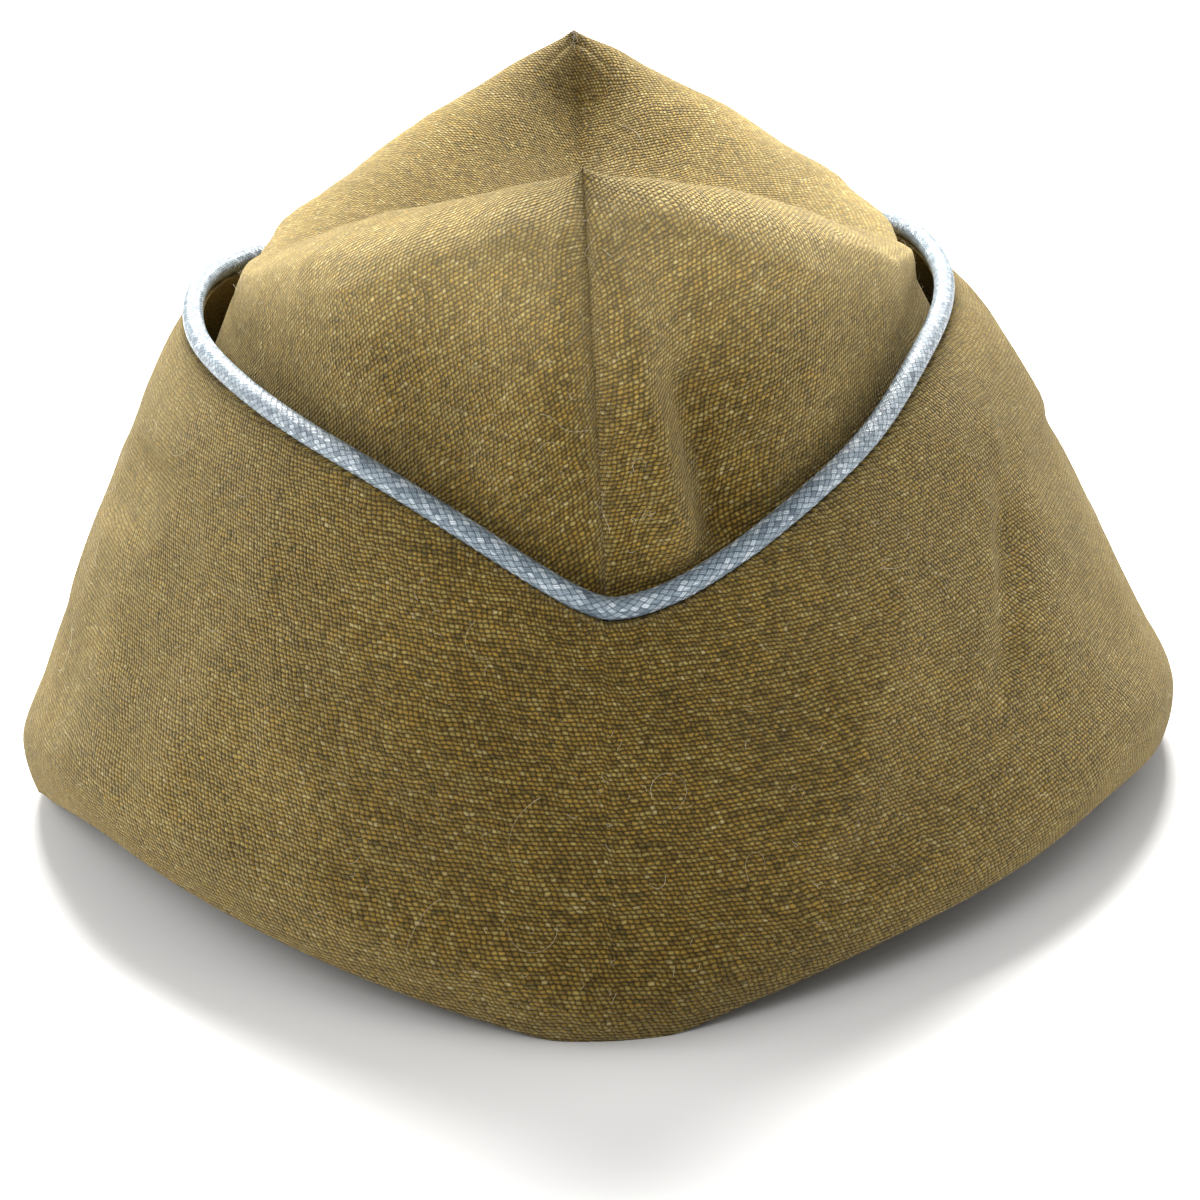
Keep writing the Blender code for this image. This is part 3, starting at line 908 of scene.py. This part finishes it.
def yarn_places(nodes, along, up, grain_degrees, mirrored):
    """Places along and across the yarns, in millimetres. The yarns wander a little."""
    flat = nodes.join(along, up)
    drift = nodes.wander(flat, *YARN_DRIFT)
    sway = nodes.wander(flat, *YARN_SWAY)
    lift = nodes.wander(nodes.join(up, along), *YARN_LIFT)
    cosine = math.cos(math.radians(grain_degrees))
    sine = math.sin(math.radians(grain_degrees))
    handed = -1.0 if mirrored else 1.0
    first = nodes.plus(nodes.times(along, cosine * handed), nodes.times(up, sine * handed))
    second = nodes.minus(nodes.times(up, cosine), nodes.times(along, sine))
    first = nodes.plus(nodes.plus(first, drift), sway)
    second = nodes.plus(nodes.plus(second, nodes.times(drift, DRIFT_ACROSS)), lift)
    return first, second


def float_form(nodes, first, second):
    """Height of the floats, 0 to 1, and the number and row of the float at each place."""
    row_place = nodes.math("DIVIDE", second, WEAVE_ROW)
    row = nodes.math("FLOOR", row_place)
    row_part = nodes.math("FRACT", row_place)
    shift = nodes.times(row, WEAVE_SHIFT)
    float_place = nodes.plus(nodes.math("DIVIDE", first, WEAVE_PITCH), shift)
    number = nodes.math("FLOOR", float_place)
    # A float is a rounded lozenge that leans with the twist of its yarn
    lean = nodes.times(nodes.minus(row_part, 0.5), FLOAT_LEAN)
    float_part = nodes.math("FRACT", nodes.plus(nodes.math("FRACT", float_place), lean))
    across = nodes.hump(row_part, FLOAT_ACROSS_POWER)
    length = nodes.hump(float_part, FLOAT_ALONG_POWER)
    return nodes.times(across, length), number, row


def yarn_tone(nodes, first, second, number, row):
    """Tone of the yarn at each place: mixed from float to float, with a few pale flecks."""
    chance = nodes.random(nodes.join(number, row, FLOAT_SEED))
    row_chance = nodes.random(nodes.join(row, ROW_SEED, 1.0))
    streak = nodes.drawn_out(first, second, *YARN_STREAKS)
    mixture = nodes.plus(nodes.times(chance, CHANCE_SHARE), nodes.times(streak, STREAK_SHARE))
    yarn = nodes.ramp(mixture, SERGE_TONES)
    flecks = nodes.spread(nodes.plus(chance, nodes.times(row_chance, ROW_SHARE)), *FLECK_SPREAD)
    yarn = nodes.mix(nodes.times(flecks, FLECK_SHARE), yarn, FLECK_TONE)
    by_place = nodes.noise(nodes.join(first, second, TONE_SEED), *YARN_TONES)
    by_place = nodes.spread(by_place, *NOISE_TONE_SPREAD)
    strong = nodes.times(by_place, nodes.spread(chance, *FLOAT_TONE_SPREAD))
    return nodes.tinted(yarn, nodes.join(strong, strong, strong))


def painted_crest_highlight(nodes, colour):
    """Paints the cloth paler along the crest: a painted highlight that stands in for the top light
    there.
    """
    crest_highlight = nodes.add("Attribute")
    crest_highlight.attribute_name = "crest_highlight"
    pale = nodes.mix(CREST_HIGHLIGHT_TONE_SHARE, nodes.tinted(colour, CREST_HIGHLIGHT_TINT), CREST_HIGHLIGHT_TONE)
    return nodes.mix(crest_highlight.outputs["Fac"], colour, pale)


def serge_material(name, grain_degrees, mirrored, painted_light_scale):
    """Wool serge: short light floats of mixed yarn in slanting rows, with painted shade in the gaps
    between.
    """
    nodes = Nodes(name)
    along, up = nodes.cloth_place()
    first, second = yarn_places(nodes, along, up, grain_degrees, mirrored)
    height, number, row = float_form(nodes, first, second)
    yarn = yarn_tone(nodes, first, second, number, row)
    fibre = nodes.drawn_out(first, second, *YARN_FIBRES)
    yarn = nodes.mix(nodes.spread(fibre, *FIBRE_SPREAD), nodes.tinted(yarn, WORN_TINT), yarn)
    # Painted shade: the yarn is darkened in the gaps between the floats, where shade falls
    gap = nodes.tinted(yarn, SERGE_GAP_SHADE)
    colour = nodes.mix(nodes.spread(height, *FLOAT_SPREAD), gap, yarn)
    mottle = nodes.spread(nodes.noise(nodes.join(along, up), *PATCHES), *MOTTLE_SPREAD)
    colour = nodes.tinted(colour, nodes.join(mottle, mottle, nodes.times(mottle, 0.98)))
    # Painted light: this copy of the serge is made lighter or darker as a whole, standing in for how
    # light falls on its piece
    colour = nodes.tinted(colour, (*painted_light_scale, 1))
    # Painted highlight: the cloth is painted paler near the crest, standing in for the top light there
    nodes.surface("Base Color", painted_crest_highlight(nodes, colour))
    nodes.relief(nodes.plus(height, nodes.times(fibre, CLOTH_FIBRE_RELIEF)), CLOTH_RELIEF)
    nodes.surface("Roughness", 0.88)
    nodes.surface("Specular IOR Level", 0.18)
    nodes.surface("Sheen Weight", 0.48)
    nodes.surface("Sheen Roughness", 0.38)
    nodes.surface("Sheen Tint", SHEEN_TINT)
    return nodes.material


def braid_material():
    """Plaited rayon: steel blue, with soft gloss, and painted shade in the gaps between its strands."""
    nodes = Nodes("braid_rayon")
    along, around = nodes.cloth_place()
    first = nodes.plus(along, around)
    second = nodes.minus(along, around)
    first_cell = nodes.math("FLOOR", first)
    second_cell = nodes.math("FLOOR", second)
    turn = nodes.math("PINGPONG", nodes.plus(first_cell, second_cell), 1.0)
    # Where the first set of strands passes over, its own width runs along the first number
    swap = nodes.minus(1.0, turn)
    wide = nodes.blend_numbers(swap, second, first)
    long = nodes.blend_numbers(swap, first, second)
    strand = nodes.blend_numbers(swap, second_cell, first_cell)
    ends = nodes.spread(nodes.hump(long, 0.4), *STRAND_END_SPREAD)
    plait = nodes.times(nodes.hump(wide, 0.9), ends)
    thread = nodes.math("SINE", nodes.times(wide, 2 * math.pi * BRAID_THREADS))
    fibre = nodes.drawn_out(wide, long, *BRAID_FIBRES)
    cell_chance = nodes.random(nodes.join(first_cell, second_cell, CELL_SEED))
    strand_chance = nodes.random(nodes.join(strand, turn, STRAND_SEED))
    tone = nodes.plus(nodes.times(cell_chance, CELL_SHARE), nodes.times(strand_chance, STRAND_SHARE))
    colour = nodes.ramp(nodes.plus(tone, nodes.times(fibre, BRAID_FIBRE_SHARE)), BRAID_TONES)
    # Painted shade: the braid is darkened in the gaps between its strands and between the threads in
    # them
    gap = nodes.tinted(colour, BRAID_GAP_SHADE)
    lines = nodes.spread(nodes.plus(thread, nodes.times(fibre, THREAD_WANDER)), *THREAD_SPREAD)
    colour = nodes.mix(nodes.times(nodes.spread(plait, *STRAND_SPREAD), lines), gap, colour)
    nodes.surface("Base Color", colour)
    height = nodes.plus(plait, nodes.times(thread, THREAD_RELIEF))
    nodes.relief(nodes.plus(height, nodes.times(fibre, BRAID_FIBRE_RELIEF)), BRAID_RELIEF)
    nodes.surface("Roughness", 0.34)
    nodes.surface("Specular IOR Level", 0.75)
    nodes.surface("Sheen Weight", 0.10)
    return nodes.material


def mark_crest_highlight(mesh, rows):
    """Notes on a crown panel's points how much painted highlight they get, the most at the crest."""
    wall = np.arange(WALL_LEVELS) / (WALL_LEVELS - 1)
    wall = np.clip((wall - CREST_HIGHLIGHT_FROM) / (1 - CREST_HIGHLIGHT_FROM), 0, 1)
    roof = np.clip(1 - np.arange(CREST_LEVELS - 2 + TOP_LEVELS) / CREST_HIGHLIGHT_TOP_LEVELS, 0, 1)
    crest_highlight = np.concatenate([np.zeros(LOWER_LEVELS), wall * wall * (3 - 2 * wall), roof * roof])
    # The same on every row of the outside and of the inside
    crest_highlight = np.tile(crest_highlight, 2 * rows)
    mesh.attributes.new("crest_highlight", "FLOAT", "POINT").data.foreach_set("value", crest_highlight)


def make_crown_panel(side, node, material):
    """One crown panel. Returns the points and normals of the cloth that shows."""
    # The stations crowd towards the back and front seams, where the cloth turns in sharply
    even = np.linspace(0, 1, PANEL_STATIONS + 1)
    stations = even - SEAM_STATION_CROWDING * np.sin(2 * math.pi * even) / (2 * math.pi)
    outer = crown_grid(side, stations, 0.0)
    inner = crown_grid(side, stations, CROWN_WALL)
    # The unevenness fades out towards the seams, and below the braid
    columns = np.arange(outer.shape[1])
    fade = np.clip((columns - LOWER_LEVELS) / LOWER_LEVELS, 0, 1)
    weight = np.clip(np.abs(outer[..., 0] - TOP_SHIFT) / CLOTH_RIPPLE_WIDTH, 0, 1) * fade
    lift = -side * uneven(outer, weight)
    outer = outer + lift
    inner = inner + lift
    mesh = wall_mesh(node, outer, inner, flattened(outer), False)
    # Painted highlight near the crest, noted on the panel's points
    mark_crest_highlight(mesh, len(outer))
    finished(node + "_cloth", mesh, material, node)
    shown = outer[:, LOWER_LEVELS + 4:]
    return shown, side * normals_of(shown)


def make_curtain(material):
    """The curtain. Returns the points and normals of the cloth that shows."""
    half = np.linspace(0, 1, CURTAIN_STATIONS + 1)
    places = [(-1, station) for station in half[::-1]] + [(1, station) for station in half[1:-1]]
    levels = np.linspace(0, 1, CURTAIN_LEVELS) ** CURTAIN_LEVEL_POWER
    outer = curtain_grid(places, levels, 0.0)
    inner = curtain_grid(places, levels, CURTAIN_WALL)
    # The unevenness fades out towards the rim and the braid
    lift = uneven(outer, np.broadcast_to(np.sin(math.pi * levels) ** UNEVEN_POWER, outer.shape[:2]))
    outer = outer + lift
    inner = inner + lift
    mesh = wall_mesh("curtain", outer, inner, flattened(outer), True)
    finished("curtain_cloth", mesh, material, "curtain")
    shown = outer[:, 2:-2]
    return shown, normals_of(shown)


def braid_line():
    """The braid's middle line: points at even steps, and how far along each lies in pitches."""
    dense = np.linspace(0, 1, BRAID_LINE_POINTS)
    left = np.stack(top_edge(-1, dense, 0.0), -1) * (-1, 1, 1) + (TOP_SHIFT, 0, 0)
    right = np.stack(top_edge(1, dense, 0.0), -1) + (TOP_SHIFT, 0, 0)
    line = np.concatenate([left[:-1], right[::-1][:-1]])
    # The corners at the back and front seams are eased
    for _ in range(BRAID_EASE_ROUNDS):
        line = (np.roll(line, 1, 0) + 2 * line + np.roll(line, -1, 0)) / 4
    step = np.linalg.norm(np.roll(line, -1, 0) - line, axis=1)
    run = np.concatenate([[0], np.cumsum(step)])
    total = run[-1]
    closed = np.concatenate([line, line[:1]])
    at = np.linspace(0, total, BRAID_SEGMENTS + 1)[:-1]
    centre = np.stack([np.interp(at, run, closed[:, axis]) for axis in range(3)], -1)
    turns = round(total / BRAID_PITCH)
    return centre, at / total * turns, turns


def braid_axes(centre):
    """Unit vectors away from the cap and up from it, square to the braid's middle line."""
    ahead = np.roll(centre, -1, 0) - np.roll(centre, 1, 0)
    ahead /= np.linalg.norm(ahead, axis=1, keepdims=True)
    out = (centre - (TOP_SHIFT, 0, 0)) * (1, 1, 0)
    out -= (out * ahead).sum(1, keepdims=True) * ahead
    out /= np.linalg.norm(out, axis=1, keepdims=True)
    return out, np.cross(out, ahead)


def plait_height(first, second):
    """Height of the plait, 0 to 1, from the two numbers that count the strands each way."""
    upper = (np.floor(first) + np.floor(second)) % 2 == 0
    across = np.abs(np.sin(math.pi * np.where(upper, first, second)))
    along = np.abs(np.sin(math.pi * np.where(upper, second, first)))
    return across**0.7 * (0.45 + 0.55 * along**0.5)


def make_braid(material):
    """A plaited cord: two sets of strands wind round it and pass over and under each other."""
    centre, phase, turns = braid_line()
    out, up = braid_axes(centre)
    angle = np.linspace(0, 2 * math.pi, BRAID_SIDES + 1)[:-1]
    wind = angle[None, :] / (2 * math.pi) * BRAID_CARRIERS / 2
    height = plait_height(phase[:, None] + wind, phase[:, None] - wind)
    radius = BRAID_DIAMETER / 2 - BRAID_RELIEF * (1 - height)
    around = out[:, None] * np.cos(angle)[None, :, None] + up[:, None] * np.sin(angle)[None, :, None]
    points = centre[:, None] + around * radius[..., None]
    rows, sides = points.shape[:2]
    index = np.arange(rows * sides).reshape(rows, sides)
    next_row = np.roll(index, -1, 0)
    corners = [index, np.roll(index, -1, 1), np.roll(next_row, -1, 1), next_row]
    faces = np.stack(corners, -1).reshape(-1, 4)
    mesh = bpy.data.meshes.new("braid")
    mesh.from_pydata(points.reshape(-1, 3).tolist(), [], faces.tolist())
    layer = mesh.uv_layers.new(name="cloth")
    row_number = np.arange(rows)[:, None] + np.array([0, 0, 1, 1])[None, :]
    u = np.broadcast_to((row_number * turns / rows)[:, None, :], (rows, sides, 4))
    side_number = np.arange(sides)[:, None] + np.array([0, 1, 1, 0])[None, :]
    v = np.broadcast_to((side_number / sides * BRAID_CARRIERS / 2)[None], (rows, sides, 4))
    layer.data.foreach_set("uv", np.stack([u, v], -1).reshape(-1))
    finished("edge_braid_plait", mesh, material, "edge_braid")


def fibre_path(rng, grid, normal, length_range, stand):
    """Points of one fibre that starts at a random place on the cloth, and the way up there."""
    row = rng.integers(LINT_MARGIN, grid.shape[0] - LINT_MARGIN)
    level = rng.integers(LINT_MARGIN, grid.shape[1] - LINT_MARGIN)
    up = normal[row, level]
    tangent = np.cross(up, rng.normal(size=3))
    tangent /= np.linalg.norm(tangent)
    length = rng.uniform(*length_range)
    turn = rng.normal() * LINT_CURL
    share = np.linspace(0, 1, LINT_STEPS)
    heading = turn * share + LINT_WAVE * rng.normal() * np.sin(share * LINT_WAVE_TURN)
    side = np.cross(up, tangent)
    steps = (np.cos(heading)[:, None] * tangent + np.sin(heading)[:, None] * side) * length / LINT_STEPS
    path = grid[row, level] + np.cumsum(steps, 0)
    # A long fibre follows the nearest cloth, a short one stands off it
    if stand:
        return path + up * (length * stand * share[:, None]), up
    near_rows = slice(max(row - LINT_REACH, 0), row + LINT_REACH + 1)
    near_levels = slice(max(level - LINT_REACH, 0), level + LINT_REACH + 1)
    near = grid[near_rows, near_levels].reshape(-1, 3)
    near_up = normal[near_rows, near_levels].reshape(-1, 3)
    nearest = np.argmin(((path[:, None] - near[None]) ** 2).sum(-1), 1)
    drop = ((path - near[nearest]) * near_up[nearest]).sum(1)
    return path + near_up[nearest] * (LINT_LIFT - drop)[:, None], up


def tube_points(path, up):
    """Points of a thin tube along a path, which tapers to its tip."""
    ring = np.linspace(0, 2 * math.pi, LINT_SIDES + 1)[:-1]
    ahead = np.gradient(path, axis=0)
    ahead /= np.linalg.norm(ahead, axis=1, keepdims=True)
    first = np.cross(ahead, up)
    first /= np.linalg.norm(first, axis=1, keepdims=True)
    second = np.cross(ahead, first)
    radius = LINT_RADIUS * np.linspace(1.0, LINT_TIP, LINT_STEPS)[:, None, None]
    tube = path[:, None] + radius * (
        first[:, None] * np.cos(ring)[None, :, None] + second[:, None] * np.sin(ring)[None, :, None]
    )
    return tube.reshape(-1, 3)


def tube_faces(base):
    """Faces of a tube whose points are numbered from base, with both its ends."""
    index = base + np.arange(LINT_STEPS * LINT_SIDES).reshape(LINT_STEPS, LINT_SIDES)
    turned = np.roll(index, -1, 1)
    sides = np.stack([index[:-1], turned[:-1], turned[1:], index[1:]], -1).reshape(-1, 4)
    return [*sides.tolist(), index[0, ::-1].tolist(), index[-1].tolist()]


def make_lint(grids, material):
    """Stray pale wool fibres lying on the cloth, and short ones standing off it, as thin tubes."""
    rng = np.random.default_rng(LINT_SEED)
    points = []
    faces = []
    for grid, normal, count, length_range, stand in grids:
        for _ in range(count):
            path, up = fibre_path(rng, grid, normal, length_range, stand)
            faces.extend(tube_faces(len(points) * LINT_STEPS * LINT_SIDES))
            points.append(tube_points(path, up))
    mesh = bpy.data.meshes.new("lint")
    mesh.from_pydata(np.concatenate(points).tolist(), [], faces)
    finished("stray_fibres", mesh, material, None)


def fibre_material():
    """Pale wool, in tones that change slowly from place to place."""
    nodes = Nodes("pale_fibre")
    tone = nodes.noise(nodes.add("NewGeometry").outputs["Position"], LINT_TONE_SCALE)
    nodes.surface("Base Color", nodes.ramp(tone, LINT_TONES))
    nodes.surface("Roughness", 0.7)
    return nodes.material


def make_floor():
    """A wide pale floor under the cap."""
    mesh = bpy.data.meshes.new("floor")
    side = FLOOR_HALF_SIDE
    corners = [(-side, -side, 0), (side, -side, 0), (side, side, 0), (-side, side, 0)]
    mesh.from_pydata(corners, [], [(0, 1, 2, 3)])
    nodes = Nodes("pale_floor")
    nodes.surface("Base Color", FLOOR_TONE)
    nodes.surface("Roughness", 0.9)
    mesh.materials.append(nodes.material)
    floor = bpy.data.objects.new("floor", mesh)
    bpy.context.scene.collection.objects.link(floor)


def add_light(name, place, target, size, energy, colour):
    lamp = bpy.data.lights.new(name, "AREA")
    lamp.shape = "RECTANGLE"
    lamp.size, lamp.size_y = size
    lamp.energy = energy
    lamp.color = colour
    light = bpy.data.objects.new(name, lamp)
    light.location = place
    light.rotation_euler = (Vector(target) - Vector(place)).to_track_quat("-Z", "Y").to_euler()
    bpy.context.scene.collection.objects.link(light)


def make_lights():
    """A white world and four soft lights."""
    world = bpy.data.worlds.new("studio")
    world.use_nodes = True
    background = world.node_tree.nodes["Background"]
    background.inputs["Color"].default_value = (1.0, 1.0, 1.0, 1)
    background.inputs["Strength"].default_value = WORLD_STRENGTH
    bpy.context.scene.world = world
    for light in LIGHTS:
        add_light(*light)


def make_camera():
    data = bpy.data.cameras.new("camera")
    data.sensor_width = SENSOR_WIDTH
    data.lens = FOCAL_PIXELS / IMAGE_SIDE * SENSOR_WIDTH
    camera = bpy.data.objects.new("camera", data)
    level = Matrix.Rotation(math.pi / 2 - CAMERA_DOWN, 4, "X")
    roll = Matrix.Rotation(CAMERA_ROLL, 4, "Z")
    camera.matrix_world = Matrix.Translation(CAMERA_PLACE) @ level @ roll
    bpy.context.scene.collection.objects.link(camera)
    bpy.context.scene.camera = camera


make_camera()
make_lights()
make_floor()
# Copies of one serge, scaled: the right panel's is painted 6% lighter, standing in for the stronger
# light on it, and the curtain's is made 3% darker
left_serge = serge_material("serge_left", -55, False, (1.0, 1.0, 1.0))
left_panel = make_crown_panel(-1, "crown_panel_left", left_serge)
right_serge = serge_material("serge_right", -4, True, (1.06, 1.06, 1.08))
right_panel = make_crown_panel(1, "crown_panel_right", right_serge)
curtain_serge = serge_material("serge_curtain", -10, False, (0.97, 0.97, 0.97))
curtain = make_curtain(curtain_serge)
make_lint(
    (
        (*left_panel, 16, LONG_FIBRE, 0.0),
        (*right_panel, 16, LONG_FIBRE, 0.0),
        (*curtain, 60, LONG_FIBRE, 0.0),
        (*left_panel, 260, SHORT_FIBRE, STANDING),
        (*right_panel, 260, SHORT_FIBRE, STANDING),
        (*curtain, 700, SHORT_FIBRE, STANDING),
    ),
    fibre_material(),
)
make_braid(braid_material())
bpy.context.scene.view_settings.view_transform = "Standard"
